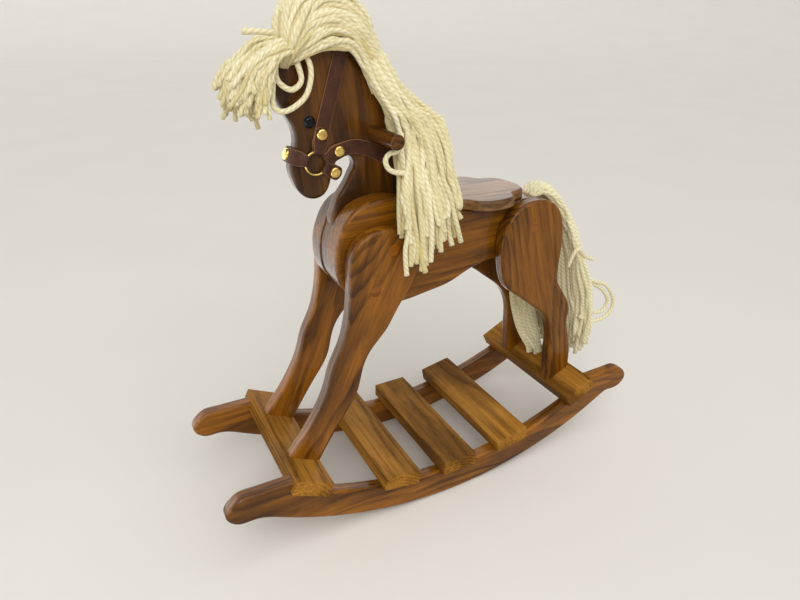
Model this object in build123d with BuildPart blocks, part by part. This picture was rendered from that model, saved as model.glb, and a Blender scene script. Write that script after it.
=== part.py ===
from build123d import *
import os
from math import asin, cos, degrees, hypot, radians, sin, sqrt

# A small wooden rocking horse of boards, with a leather bridle and yarn hair.
# Millimetres. +X is forward, +Y is the horse's left, +Z is up.
# The origin is on the floor, under the middle of the rockers.

# Boards
stock = 19.0                    # thickness of neck, legs, rockers and slats
body_side_thickness = 28.5      # each of the two outer boards of the body
edge_round = 5.0                # rounded edges of legs, rockers, neck and body
inner_edge_round = 2.0          # eased edge where two boards of the body meet
glue_gap = 0.05                 # room for glue round dowels, screws and plugs

# Rockers and slats
rocker_radius = 508.0           # radius of the sole
rocker_depth = 38.0             # height of a rocker
rocker_outer_y = 95.0           # outer face of the left rocker
sole_reach = 245.0              # where the sole leaves its arc for the toe
slat_length = 205.0
slat_width = 50.0
end_slat_width = 48.0
slat_edge_round = 1.5
end_slat_x = 207.5              # from the rocker's middle to the middle of an end slat's underside
inner_slat_x = 87.3
slat_pin_radius = 4.0
slat_pin_in_slat = 12.0
slat_pin_in_rocker = 18.0

# The toe of a rocker, measured from the end of the sole's arc, round its tip to the end slat
toe_under = [(27.0, 9.5), (45.0, 11.0)]
toe_tip = (57.0, 27.0)
toe_top = [(44.0, 43.0), (10.0, 45.5)]
toe_shoulder = (-30.0, 45.0)    # under the end slat, which is let in to it
toe_root_x = 198.6              # the shoulder rises from the arc here, under the slat too

# Fasteners
screw_radius = 2.2
screw_head_radius = 4.2
screw_head_height = 3.0
leg_screw_length = 36.0
foot_screw_length = 46.0
foot_screw_sink = 1.0           # the heads lie this deep in the slats
foot_screw_shift = 4.0          # the front feet stand this far behind the slat's middle
plug_radius = 6.4
plug_depth = 6.0

# Outlines in side view, as (x, z) points; the rump line ends at the rear of the flat back
back_height = 375.0             # flat of the back, where the seat lies
back_front_x = 6.0
foot_height = 83.0              # from here up the outlines stretch with the back
chest_line = [(56, 400), (88, 402), (106, 397), (120, 387), (131, 369), (137, 350), (138, 335),
              (136, 318), (129, 303), (112, 288), (85, 277), (55, 272)]
belly_line = [(23, 276), (-14, 283), (-40, 294), (-65, 301), (-100, 303), (-135, 302)]
rump_line = [(-160, 311), (-173, 332), (-171, 352), (-158, 366), (-140, 372.5), (-122, 375)]
withers_line = [(24, 381), (42, 395)]
core_joint_x = 20.0             # the neck board ends here and the core board begins
chest_setback = 1.5             # the neck board's chest lies behind the body sides
curve_steps = 96                # points along a curve that is set off from an outline
foot_cut = 150.0                # width and depth of the saw cut that ends a foot
joint_cut = 2000.0              # size of the saw cut at the joint of neck board and core

head_line = [(100, 440), (107, 447), (117, 444), (127.5, 421), (136.5, 407), (149.5, 404.5),
             (162.5, 412.5), (169.5, 427), (172, 441), (164.8, 464), (166.8, 482), (175, 497),
             (182, 511), (185, 526),
             (177, 542), (160, 552), (135, 557), (112, 553), (92, 539), (76, 516), (62, 488),
             (50, 460), (44, 430), (40, 400), (46, 372), (80, 356), (116, 357), (129, 372),
             (126, 389), (119, 404), (110, 416), (102, 430)]

front_leg_line = [(219, 106), (193, 136), (177, 161), (164, 188), (155, 217), (143, 242), (135, 269),
                  (131, 297), (130, 325), (127, 350), (112, 368), (86, 375), (60, 367), (44, 346),
                  (43, 322), (53, 299), (70, 274), (84, 251), (106, 226), (116, 205), (123, 178),
                  (143, 145), (159, 121), (181, 83)]
hind_leg_line = [(-180, 83), (-180, 112), (-177, 142), (-176, 165), (-172, 185), (-165, 200),
                 (-151, 217), (-131, 233), (-108, 251), (-92, 264), (-82, 284), (-77, 311),
                 (-77, 338), (-84, 355), (-96, 369), (-115, 376), (-138, 376), (-156, 368),
                 (-167, 354), (-173, 334), (-175, 309), (-174, 282), (-175, 262), (-187, 241),
                 (-199, 224), (-205, 208), (-204, 192), (-210, 168), (-216, 146), (-219, 118), (-219, 95)]
front_plugs = [(99, 304), (76, 350)]
hind_plugs = [(-123, 344)]

# Seat, half outline in plan from the rear end to the front end
seat_thickness = 12.0
seat_edge_round = 4.5
seat_line = [(-130, 0), (-127, 20), (-114, 34), (-99, 39), (-92, 51), (-76, 58.5), (-56, 58.5),
             (-38, 50), (-29, 39), (-12, 34), (2, 20), (6, 0)]
seat_pin_radius = 4.0
seat_pin_places = (-100.0, -25.0)
seat_pin_in_seat = 7.0
seat_pin_in_core = 24.0

# Handle
handle_radius = 8.0
handle_length = 134.0
handle_x = 77.0
handle_z = 469.0
handle_end_round = 1.5

# Eyes
eye_x = 149.0
eye_z = 486.0
eye_radius = 6.4
eye_height = 4.6
eye_shank_radius = 2.0
eye_shank_length = 7.0
dome_share = 0.9                # how much of a dome's height is rounded

# Bridle
leather = 1.8                   # thickness of the straps
strap_gap = 0.2                 # between a strap and the wood
strap_width = 14.0
strap_end_width = 7.6           # straps narrow towards the ring
ring_x = 145.0
ring_z = 444.0
ring_radius = 12.0              # to the middle of the wire
ring_wire_radius = 1.2
ring_clearance = 0.3            # round the wire inside a strap's fold
fold_inner_reach = 8.5          # a fold begins this far from the ring's middle
fold_outer_reach = 16.5         # and is flat again here
fold_end = 7.0                  # a fold's end lies this far past its rivet
rivet_radius = 6.2
rivet_height = 3.0
rivet_post_radius = 1.5

nose_rivet_place = (168.9, 452.6)  # on the front edge of the nose, in the middle plane

# Strap routes in side view, from the ring to past the edge that they turn round
noseband_full = (165.0, 451.0)  # the noseband has its full width from here on
chin_rivet = (124.0, 432.0)
cheek_rivet = (137.0, 473.0)
rein_rivet = (118.5, 454.0)
noseband_end = (186.0, 457.0)
chin_end = (113.0, 425.7)
headstall_end = (104.5, 574.0)
rein_bends = [(98.0, 456.5), (78.0, 450.0), (60.0, 440.0)]
rein_end = (30.0, 428.0)

# Hair: plain bodies of the yarn's outer shape
hair_gap = 0.5                  # between the hair and what it lies on
hair_round = 5.0
crest_half_width = 16.0
# Each station along the crest: x, z of its middle and its depth there
crest_stations = [(143, 570, 30), (112, 570, 40), (84, 550, 36), (62, 512, 28), (45, 470, 26), (36, 428, 22)]
# Each level of the mane's fall: height, rear x, front x, inner y, outer y
fall_levels = [(534, 70, 92, 16.3, 30), (504, 50, 80, 16.3, 34), (470, 34, 66, 17, 40),
               (440, 20, 68, 24, 48), (410, 6, 72, 42, 62), (380, -8, 72, 58, 75),
               (345, 4, 72, 59, 76), (310, 28, 68, 59, 74)]
# Each station of the forelock: x, lower z, upper z, half width
forelock_stations = [(143.5, 560, 582, 22), (170, 553, 573, 27), (192, 532, 564, 29),
                     (214, 498, 554, 28), (238, 486, 530, 22)]
# Each level of the tail: height, rear x, front x, half width
tail_levels = [(386, -174, -154, 13), (366, -182, -160, 19), (345, -188, -166, 25), (310, -190, -170, 30),
               (265, -184, -162, 32), (220, -178, -156, 33), (170, -194, -174, 33), (122, -224, -204, 31)]
# Each level of the tail's rear lobe, behind the hind legs: height, rear x, front x, half width
tail_lobe_levels = [(310, -204, -182, 31), (230, -242, -222, 44), (160, -260, -241, 48), (92, -258, -242, 42)]

# Worked out from the sizes above
drawn_back = rump_line[-1][1]
half_stock = stock / 2
body_half = half_stock + body_side_thickness
leg_outer = body_half + stock
leg_mid = body_half + half_stock
seat_radius = rocker_radius - rocker_depth
end_slat_angle = degrees(asin(end_slat_x / seat_radius))
inner_slat_angle = degrees(asin(inner_slat_x / seat_radius))
rocker_mid_y = rocker_outer_y - half_stock
strap_inner = half_stock + strap_gap
strap_outer = strap_inner + leather
ring_y = strap_outer + ring_clearance + ring_wire_radius
fold_outer = ring_y + ring_wire_radius + ring_clearance + leather
rivet_seat = strap_outer + leather
strap_layers = {"noseband": 2, "chin_strap": 1, "headstall": 1, "reins": 1}
ring_centre = (ring_x, ring_z)
slat_angles = {
    "front_slat": end_slat_angle,
    "front_middle_slat": inner_slat_angle,
    "middle_slat": 0.0,
    "rear_middle_slat": -inner_slat_angle,
    "rear_slat": -end_slat_angle,
}
strap_routes = {
    "noseband": [ring_centre, noseband_full, noseband_end],
    "chin_strap": [ring_centre, chin_rivet, chin_end],
    "headstall": [ring_centre, cheek_rivet, headstall_end],
    "reins": [ring_centre, rein_rivet, *rein_bends, rein_end],
}
head_curve = Spline(*head_line, periodic=True)
both_sides = (1, -1)
side_names = {"left": 1, "right": -1}


def with_back(points):
    """Side view points, moved up or down with the back."""
    stretch = (back_height - foot_height) / (drawn_back - foot_height)
    return [(x, foot_height + (z - foot_height) * stretch) for x, z in points]


def finish(piece, name):
    """Label a finished piece and write it."""
    piece.label = name
    export_step(piece, f"parts/{name}.step")


def side_plane(y):
    """Side view at a distance from the middle. Its normal is -Y."""
    return Plane.XZ.offset(-y)


def outward_plane(y):
    """Side view whose normal points away from the horse's middle, with x forward or back."""
    facing = 1 if y > 0 else -1
    return Plane(origin=(0, y, 0), x_dir=(-facing, 0, 0), z_dir=(0, facing, 0))


def on_outward(y, point):
    """A side view point in the coordinates of outward_plane(y)."""
    return (-point[0], point[1]) if y > 0 else point


def slat_plane(angle, height=0.0):
    """Plane across the rockers, tangent to their top, with its normal towards their centre."""
    turn = radians(angle)
    foot = (seat_radius * sin(turn), 0, rocker_radius - seat_radius * cos(turn))
    across = Plane(origin=foot, x_dir=(cos(turn), 0, sin(turn)), z_dir=(-sin(turn), 0, cos(turn)))
    return across.offset(height)


def slat_size(angle):
    """Width of the slat at an angle: the two end slats are a little narrower."""
    return end_slat_width if abs(angle) == end_slat_angle else slat_width


def foot_screw_places(angle):
    """Where the screws into the feet stand on an end slat."""
    shift = -foot_screw_shift if angle > 0 else 0.0
    return [(shift, side * leg_mid) for side in both_sides]


def arc_height(radius, x):
    """Height at x of an arc round the rockers' centre."""
    return rocker_radius - sqrt(radius**2 - x**2)


def at_other_end(points):
    """The same points at the other end of the horse, in reverse order."""
    return [(-x, z) for x, z in reversed(points)]


def left_face(side, inner, outer):
    """The y of the left face of a board between two distances from the middle."""
    return outer if side > 0 else -inner


def set_off(curve, distance):
    """Points along a side view curve, moved to its left by a distance."""
    steps = [index / curve_steps for index in range(curve_steps + 1)]
    return [curve @ step + (curve % step).rotate(Axis.Z, 90) * distance for step in steps]


def body_outline(outset=0.0):
    """Side view of the body: chest, belly and rump are one curve, the back is flat."""
    curve = set_off(body_curve, outset) if outset else body_line
    Spline(*curve)
    Line(curve[-1], curve[0])


def head_outline(outset=0.0):
    """Side view of the head and neck, down into the body."""
    curve = set_off(head_curve, -outset)[:-1] if outset else head_line
    Spline(*curve, periodic=True)


def nose_plane(height):
    """Plane square to the front edge of the nose, at a height off the wood."""
    steps = [index / (curve_steps * curve_steps) for index in range(curve_steps * curve_steps)]
    place = min(steps, key=lambda step: (head_curve @ step - Vector(*nose_rivet_place)).length)
    out = (head_curve % place).rotate(Axis.Z, -90)
    foot = head_curve @ place + out * height
    return Plane(origin=(foot.X, 0, foot.Y), x_dir=(0, 1, 0), z_dir=(out.X, 0, out.Y))


def screw_steps(length):
    """Radius and length of a plain wood screw's head and shank, both from the head's face."""
    return ((screw_head_radius, screw_head_height), (screw_radius, length))


os.makedirs("parts", exist_ok=True)
body_line = with_back([(back_front_x, drawn_back), *withers_line, *chest_line, *belly_line, *rump_line])
body_curve = Spline(*body_line)
front_screws = with_back(front_plugs)
hind_screws = with_back(hind_plugs)

# Rockers: an arc between two toes, with seats for the slats
sole_end = (sole_reach, arc_height(rocker_radius, sole_reach))
toe = [(sole_end[0] + x, sole_end[1] + z) for x, z in [(0, 0), *toe_under, toe_tip, *toe_top]]
shoulder = [toe[-1], (sole_end[0] + toe_shoulder[0], sole_end[1] + toe_shoulder[1]),
            (toe_root_x, arc_height(seat_radius, toe_root_x))]
sole_slope = (sqrt(rocker_radius**2 - sole_reach**2), sole_reach)
for name, side in side_names.items():
    with BuildPart() as rocker:
        with BuildSketch(side_plane(side * rocker_mid_y + half_stock)):
            with BuildLine():
                ThreePointArc((-sole_end[0], sole_end[1]), (0, 0), sole_end)
                Spline(*toe, tangents=(sole_slope, (-1, 0)))
                Polyline(*shoulder)
                ThreePointArc(shoulder[-1], (0, rocker_depth), at_other_end(shoulder)[0])
                Polyline(*at_other_end(shoulder))
                Spline(*at_other_end(toe), tangents=((-1, 0), (sole_slope[0], -sole_slope[1])))
            make_face()
        extrude(amount=stock)
        fillet(rocker.faces().filter_by(Axis.Y).edges(), edge_round)
        for angle in slat_angles.values():
            with BuildSketch(slat_plane(angle)):
                Rectangle(slat_size(angle), slat_length)
            extrude(amount=rocker_depth, mode=Mode.SUBTRACT)
            with BuildSketch(slat_plane(angle)):
                with Locations((0, side * rocker_mid_y)):
                    Circle(slat_pin_radius + glue_gap)
            extrude(amount=-slat_pin_in_rocker - glue_gap, mode=Mode.SUBTRACT)
    finish(rocker.part, f"{name}_rocker")

# Slats, with blind holes for the pins and, at the ends, room for the screws into the feet
for name, angle in slat_angles.items():
    with BuildPart() as slat:
        with BuildSketch(slat_plane(angle)):
            Rectangle(slat_size(angle), slat_length)
        extrude(amount=stock)
        fillet(slat.edges(), slat_edge_round)
        with BuildSketch(slat_plane(angle)):
            with Locations((0, rocker_mid_y), (0, -rocker_mid_y)):
                Circle(slat_pin_radius + glue_gap)
        extrude(amount=slat_pin_in_slat + glue_gap, mode=Mode.SUBTRACT)
        if abs(angle) == end_slat_angle:
            with BuildSketch(slat_plane(angle)):
                with Locations(*foot_screw_places(angle)):
                    Circle(screw_head_radius + glue_gap)
            extrude(amount=foot_screw_sink + screw_head_height + glue_gap, mode=Mode.SUBTRACT)
            with BuildSketch(slat_plane(angle)):
                with Locations(*foot_screw_places(angle)):
                    Circle(screw_radius + glue_gap)
            extrude(amount=stock, mode=Mode.SUBTRACT)
    finish(slat.part, name)

# Pins between the slats and the rockers
with BuildPart() as slat_pins:
    for angle in slat_angles.values():
        with BuildSketch(slat_plane(angle, -slat_pin_in_rocker)):
            with Locations((0, rocker_mid_y), (0, -rocker_mid_y)):
                Circle(slat_pin_radius)
        extrude(amount=slat_pin_in_rocker + slat_pin_in_slat)
finish(slat_pins.part, "slat_pins")

# Screws from the end slats up into the feet
with BuildPart() as foot_screws:
    for angle in (end_slat_angle, -end_slat_angle):
        for radius, length in screw_steps(foot_screw_length):
            with BuildSketch(slat_plane(angle, foot_screw_sink)):
                with Locations(*foot_screw_places(angle)):
                    Circle(radius)
            extrude(amount=length)
finish(foot_screws.part, "foot_screws")

# Legs: cut off at the top of their slat, screwed to the body from outside
legs = {
    "front": (with_back(front_leg_line), end_slat_angle, front_screws),
    "hind": (with_back(hind_leg_line), -end_slat_angle, hind_screws),
}
for name, side in side_names.items():
    for place, (line, angle, plugs) in legs.items():
        outer = side * leg_outer
        with BuildPart() as leg:
            with BuildSketch(side_plane(left_face(side, body_half, leg_outer))):
                with BuildLine():
                    Spline(*line)
                    Line(line[-1], line[0])
                make_face()
            extrude(amount=stock)
            sawn_edges = leg.faces().filter_by(Axis.Y).edges().filter_by(GeomType.LINE, reverse=True)
            fillet(sawn_edges, edge_round)
            with BuildSketch(slat_plane(angle, stock)):
                Rectangle(foot_cut, slat_length)
            extrude(amount=-foot_cut, mode=Mode.SUBTRACT)
            with BuildSketch(slat_plane(angle)):
                with Locations(*foot_screw_places(angle)):
                    Circle(screw_radius + glue_gap)
            extrude(amount=foot_screw_sink + foot_screw_length + glue_gap, mode=Mode.SUBTRACT)
            with BuildSketch(outward_plane(outer)):
                with Locations(*[on_outward(outer, plug) for plug in plugs]):
                    Circle(plug_radius + glue_gap)
            extrude(amount=-plug_depth - screw_head_height - glue_gap, mode=Mode.SUBTRACT)
            with BuildSketch(outward_plane(outer)):
                with Locations(*[on_outward(outer, plug) for plug in plugs]):
                    Circle(screw_radius + glue_gap)
            extrude(amount=-stock, mode=Mode.SUBTRACT)
        finish(leg.part, f"{name}_{place}_leg")

# Screws through the legs into the body, and the wooden plugs over their heads
with BuildPart() as leg_screws:
    for side in both_sides:
        head_y = side * (leg_outer - plug_depth)
        for radius, length in screw_steps(leg_screw_length):
            with BuildSketch(outward_plane(head_y)):
                with Locations(*[on_outward(side, plug) for plug in front_screws + hind_screws]):
                    Circle(radius)
            extrude(amount=-length)
finish(leg_screws.part, "leg_screws")
with BuildPart() as leg_plugs:
    for side in both_sides:
        outer = side * leg_outer
        with BuildSketch(outward_plane(outer)):
            with Locations(*[on_outward(outer, plug) for plug in front_screws + hind_screws]):
                Circle(plug_radius)
        extrude(amount=-plug_depth)
finish(leg_plugs.part, "leg_plugs")

# Body sides
for name, side in side_names.items():
    inner = side * half_stock
    with BuildPart() as body_side:
        with BuildSketch(side_plane(left_face(side, half_stock, body_half))):
            with BuildLine():
                body_outline()
            make_face()
        extrude(amount=body_side_thickness)
        faces = body_side.faces().filter_by(Axis.Y).sort_by(Axis.Y)
        fillet(faces[-1 if side > 0 else 0].edges(), edge_round)
        faces = body_side.faces().filter_by(Axis.Y).sort_by(Axis.Y)
        fillet(faces[0 if side > 0 else -1].edges(), inner_edge_round)
        with BuildSketch(outward_plane(side * body_half)):
            with Locations(*[on_outward(side, plug) for plug in front_screws + hind_screws]):
                Circle(screw_radius + glue_gap)
        extrude(amount=-(leg_screw_length - stock + plug_depth + glue_gap), mode=Mode.SUBTRACT)
    finish(body_side.part, f"{name}_body_side")

# Neck and head board, with the chest between the body sides
with BuildPart() as neck_head_board:
    with BuildSketch(side_plane(half_stock)):
        with BuildLine():
            head_outline()
        make_face()
    extrude(amount=stock)
    fillet(neck_head_board.faces().filter_by(Axis.Y).edges(), edge_round)
    with BuildSketch(side_plane(half_stock)):
        with BuildLine():
            body_outline(-chest_setback)
        make_face()
        with Locations((core_joint_x, 0)):
            Rectangle(joint_cut, joint_cut, align=(Align.MAX, Align.CENTER), mode=Mode.SUBTRACT)
    extrude(amount=stock)
    with BuildSketch(side_plane(half_stock)):
        with Locations((handle_x, handle_z)):
            Circle(handle_radius + glue_gap)
    extrude(amount=stock, mode=Mode.SUBTRACT)
    for side in both_sides:
        with BuildSketch(outward_plane(side * half_stock)):
            with Locations(on_outward(side, (eye_x, eye_z))):
                Circle(eye_shank_radius + glue_gap)
        extrude(amount=-eye_shank_length - glue_gap, mode=Mode.SUBTRACT)
finish(neck_head_board.part, "neck_head_board")

# Core board of the body, behind the neck board
with BuildPart() as body_core:
    with BuildSketch(side_plane(half_stock)):
        with BuildLine():
            body_outline()
        make_face()
        with Locations((core_joint_x, 0)):
            Rectangle(joint_cut, joint_cut, align=(Align.MIN, Align.CENTER), mode=Mode.SUBTRACT)
    extrude(amount=stock)
    with BuildSketch(Plane.XY.offset(back_height)):
        with Locations(*[(x, 0) for x in seat_pin_places]):
            Circle(seat_pin_radius + glue_gap)
    extrude(amount=-seat_pin_in_core - glue_gap, mode=Mode.SUBTRACT)
finish(body_core.part, "body_core")

# Seat
with BuildPart() as saddle_seat:
    with BuildSketch(Plane.XY.offset(back_height)):
        with BuildLine():
            Spline(*seat_line, *[(x, -y) for x, y in seat_line[-2:0:-1]], periodic=True)
        make_face()
    extrude(amount=seat_thickness)
    fillet(saddle_seat.faces().sort_by(Axis.Z)[-1].edges(), seat_edge_round)
    fillet(saddle_seat.faces().sort_by(Axis.Z)[0].edges(), inner_edge_round)
    with BuildSketch(Plane.XY.offset(back_height)):
        with Locations(*[(x, 0) for x in seat_pin_places]):
            Circle(seat_pin_radius + glue_gap)
    extrude(amount=seat_pin_in_seat + glue_gap, mode=Mode.SUBTRACT)
finish(saddle_seat.part, "saddle_seat")

with BuildPart() as seat_pins:
    with BuildSketch(Plane.XY.offset(back_height - seat_pin_in_core)):
        with Locations(*[(x, 0) for x in seat_pin_places]):
            Circle(seat_pin_radius)
    extrude(amount=seat_pin_in_core + seat_pin_in_seat)
finish(seat_pins.part, "seat_pins")

# Handle through the neck
with BuildPart() as handle_dowel:
    with BuildSketch(side_plane(handle_length / 2)):
        with Locations((handle_x, handle_z)):
            Circle(handle_radius)
    extrude(amount=handle_length)
    fillet(handle_dowel.edges().filter_by(GeomType.CIRCLE), handle_end_round)
finish(handle_dowel.part, "handle_dowel")

# Eyes: a glossy dome on a shank
for name, side in side_names.items():
    eye_place = on_outward(side, (eye_x, eye_z))
    with BuildPart() as eye:
        with BuildSketch(outward_plane(side * half_stock)):
            with Locations(eye_place):
                Circle(eye_radius)
        extrude(amount=eye_height)
        domed = eye.faces().filter_by(Axis.Y).sort_by(Axis.Y)[-1 if side > 0 else 0]
        fillet(domed.edges(), dome_share * eye_height)
        with BuildSketch(outward_plane(side * half_stock)):
            with Locations(eye_place):
                Circle(eye_shank_radius)
        extrude(amount=-eye_shank_length)
    finish(eye.part, f"{name}_eye")

# Bit rings of brass wire
for name, side in side_names.items():
    with BuildPart(Plane(origin=(ring_x, side * ring_y, ring_z), z_dir=(0, 1, 0))) as bit_ring:
        Torus(ring_radius, ring_wire_radius)
    finish(bit_ring.part, f"{name}_bit_ring")

# Straps: a band round the edge of the head, folded round both rings and riveted; the folds of the noseband
# run on to one rivet at the front of the nose
rivet_places = [chin_rivet, cheek_rivet, rein_rivet]
for name, (start, rivet, *bends) in strap_routes.items():
    to_rivet = hypot(rivet[0] - start[0], rivet[1] - start[1])
    ahead = Vector(rivet[0] - start[0], rivet[1] - start[1]).normalized()
    across = Vector(-ahead.Y, ahead.X)
    fold_start = Vector(*start) + ahead * fold_inner_reach
    fold_flat = Vector(*start) + ahead * fold_outer_reach
    fold_tip = Vector(*rivet) + ahead * fold_end
    narrow = across * (strap_end_width / 2)
    wide = across * (strap_width / 2)
    end_layer = [fold_start + narrow, Vector(*rivet) + wide, fold_tip + wide,
                 fold_tip - wide, Vector(*rivet) - wide, fold_start - narrow]
    widened = (fold_outer_reach - fold_inner_reach) / (to_rivet - fold_inner_reach)
    flat_width = narrow + (wide - narrow) * widened
    bulge = [fold_start + narrow, fold_flat + flat_width, fold_flat - flat_width, fold_start - narrow]
    last_run = (bends[-1][0] - bends[-2][0], bends[-1][1] - bends[-2][1]) if len(bends) > 1 else ahead
    band_outer = strap_inner + strap_layers[name] * leather
    with BuildPart() as strap:
        with BuildSketch(side_plane(band_outer)):
            with BuildLine():
                if len(bends) > 1:
                    Spline(rivet, *bends, tangents=(ahead, last_run))
                else:
                    Line(rivet, *bends)
            trace(line_width=strap_width)
            with BuildLine():
                Polyline(*end_layer, close=True)
            make_face()
        extrude(amount=2 * band_outer)
        with BuildSketch(side_plane(band_outer)):
            with BuildLine():
                head_outline(strap_gap + strap_layers[name] * leather)
            make_face()
        extrude(amount=2 * band_outer, mode=Mode.INTERSECT)
        with BuildSketch(side_plane(strap_inner)):
            with BuildLine():
                head_outline(strap_gap)
            make_face()
        extrude(amount=2 * strap_inner, mode=Mode.SUBTRACT)
        for side in both_sides:
            with BuildSketch(side_plane(left_face(side, strap_outer, rivet_seat))):
                with BuildLine():
                    Polyline(*end_layer, close=True)
                make_face()
            extrude(amount=leather)
            with BuildSketch(side_plane(left_face(side, strap_outer, fold_outer))):
                with BuildLine():
                    Polyline(*bulge, close=True)
                make_face()
            extrude(amount=fold_outer - strap_outer)
            if rivet in rivet_places:
                with BuildSketch(side_plane(left_face(side, strap_inner, rivet_seat))):
                    with Locations(rivet):
                        Circle(rivet_post_radius + glue_gap)
                extrude(amount=rivet_seat - strap_inner, mode=Mode.SUBTRACT)
            with BuildSketch(Plane(origin=(ring_x, side * ring_y, ring_z))):
                with Locations((ring_radius, 0)):
                    Circle(ring_wire_radius + ring_clearance)
            revolve(axis=Axis((ring_x, side * ring_y, ring_z), (0, 1, 0)), mode=Mode.SUBTRACT)
        if name == "noseband":
            with BuildSketch(nose_plane(strap_gap)):
                Circle(rivet_post_radius + glue_gap)
            extrude(amount=rivet_height + leather, both=True, mode=Mode.SUBTRACT)
    finish(strap.part, name)

# Rivets: domed brass caps with a post through both layers of the strap
for name, side in side_names.items():
    with BuildPart() as rivets:
        with BuildSketch(outward_plane(side * rivet_seat)):
            with Locations(*[on_outward(side, place) for place in rivet_places]):
                Circle(rivet_radius)
        extrude(amount=rivet_height)
        caps = rivets.faces().filter_by(Axis.Y).sort_by(Axis.Y)
        outer_caps = caps[-len(rivet_places):] if side > 0 else caps[:len(rivet_places)]
        fillet(outer_caps.edges(), dome_share * rivet_height)
        with BuildSketch(outward_plane(side * rivet_seat)):
            with Locations(*[on_outward(side, place) for place in rivet_places]):
                Circle(rivet_post_radius)
        extrude(amount=strap_inner - rivet_seat)
    finish(rivets.part, f"{name}_bridle_rivets")

# Rivet at the front of the nose, its cap bedded on the two layers of the noseband
with BuildPart() as nose_rivet:
    with BuildSketch(nose_plane(strap_gap + leather)):
        Circle(rivet_radius)
    extrude(amount=leather + rivet_height)
    fillet(nose_rivet.faces().sort_by(Axis.X)[-1].edges(), dome_share * rivet_height)
    with BuildSketch(side_plane(rivet_seat)):
        with BuildLine():
            head_outline(strap_gap + strap_layers["noseband"] * leather)
        make_face()
    extrude(amount=2 * rivet_seat, mode=Mode.SUBTRACT)
    with BuildSketch(nose_plane(strap_gap)):
        Circle(rivet_post_radius)
    extrude(amount=strap_layers["noseband"] * leather + rivet_height / 2)
finish(nose_rivet.part, "nose_rivet")

# Mane: the crest that straddles the poll and the back of the neck
with BuildPart() as mane_crest:
    for index, (x, z, depth) in enumerate(crest_stations):
        before = crest_stations[max(index - 1, 0)]
        after = crest_stations[min(index + 1, len(crest_stations) - 1)]
        along = Vector(after[0] - before[0], 0, after[1] - before[1])
        with BuildSketch(Plane(origin=(x, 0, z), x_dir=(0, 1, 0), z_dir=along)):
            RectangleRounded(2 * crest_half_width, depth, hair_round)
    loft(ruled=True)
    with BuildSketch(side_plane(strap_outer + hair_gap)):
        with BuildLine():
            head_outline(strap_gap + leather + hair_gap)
        make_face()
    extrude(amount=2 * (strap_outer + hair_gap), mode=Mode.SUBTRACT)
finish(mane_crest.part, "mane_crest")

# Mane: the fall over the left side
with BuildPart() as mane_fall:
    for height, rear, front, inner, outer in fall_levels:
        with BuildSketch(Plane.XY.offset(height)):
            with Locations(((rear + front) / 2, (inner + outer) / 2)):
                RectangleRounded(front - rear, outer - inner, hair_round)
    loft(ruled=True)
finish(mane_fall.part, "mane_fall")

# Forelock
with BuildPart() as forelock:
    for x, low, high, half_width in forelock_stations:
        with BuildSketch(Plane.YZ.offset(x)):
            with Locations((0, (low + high) / 2)):
                RectangleRounded(2 * half_width, high - low, hair_round)
    loft(ruled=True)
finish(forelock.part, "forelock")

# Tail, trimmed to lie on the rump
with BuildPart() as tail:
    for levels in (tail_levels, tail_lobe_levels):
        for height, rear, front, half_width in levels:
            with BuildSketch(Plane.XY.offset(height)):
                with Locations(((rear + front) / 2, 0)):
                    RectangleRounded(front - rear, 2 * half_width, hair_round)
        loft(ruled=True)
    with BuildSketch(side_plane(body_half)):
        with BuildLine():
            body_outline(hair_gap)
        make_face()
    extrude(amount=2 * body_half, mode=Mode.SUBTRACT)
finish(tail.part, "tail")
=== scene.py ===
"""Looks of the rocking horse: stained oak, leather bridle, brass, and a mane and tail of plied yarn."""

import logging
from dataclasses import dataclass
from enum import Enum
from typing import Any, Sequence, Union

import bpy
import numpy as np
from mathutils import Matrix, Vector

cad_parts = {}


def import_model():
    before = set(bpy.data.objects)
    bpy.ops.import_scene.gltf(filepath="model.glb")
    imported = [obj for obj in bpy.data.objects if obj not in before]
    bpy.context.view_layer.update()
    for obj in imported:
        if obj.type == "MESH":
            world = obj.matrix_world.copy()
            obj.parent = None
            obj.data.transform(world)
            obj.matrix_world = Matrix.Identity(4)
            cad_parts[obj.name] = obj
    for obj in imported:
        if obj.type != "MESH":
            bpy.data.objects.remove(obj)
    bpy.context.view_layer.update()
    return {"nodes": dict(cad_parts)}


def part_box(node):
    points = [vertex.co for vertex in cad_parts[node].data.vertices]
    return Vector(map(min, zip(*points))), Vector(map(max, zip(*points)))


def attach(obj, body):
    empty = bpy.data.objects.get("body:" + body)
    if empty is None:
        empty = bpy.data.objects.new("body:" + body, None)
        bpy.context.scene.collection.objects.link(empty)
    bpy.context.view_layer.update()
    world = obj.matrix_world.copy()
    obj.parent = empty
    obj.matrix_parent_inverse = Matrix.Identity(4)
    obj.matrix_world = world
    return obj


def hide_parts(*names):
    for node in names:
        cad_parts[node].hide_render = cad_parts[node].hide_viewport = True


LOG = logging.getLogger("rocking_horse")
MM = 0.001

Triple = tuple[float, float, float]
Pair = tuple[float, float]
Colour = tuple[float, float, float, float]
Guides = Sequence[Sequence[Triple]]


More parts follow.
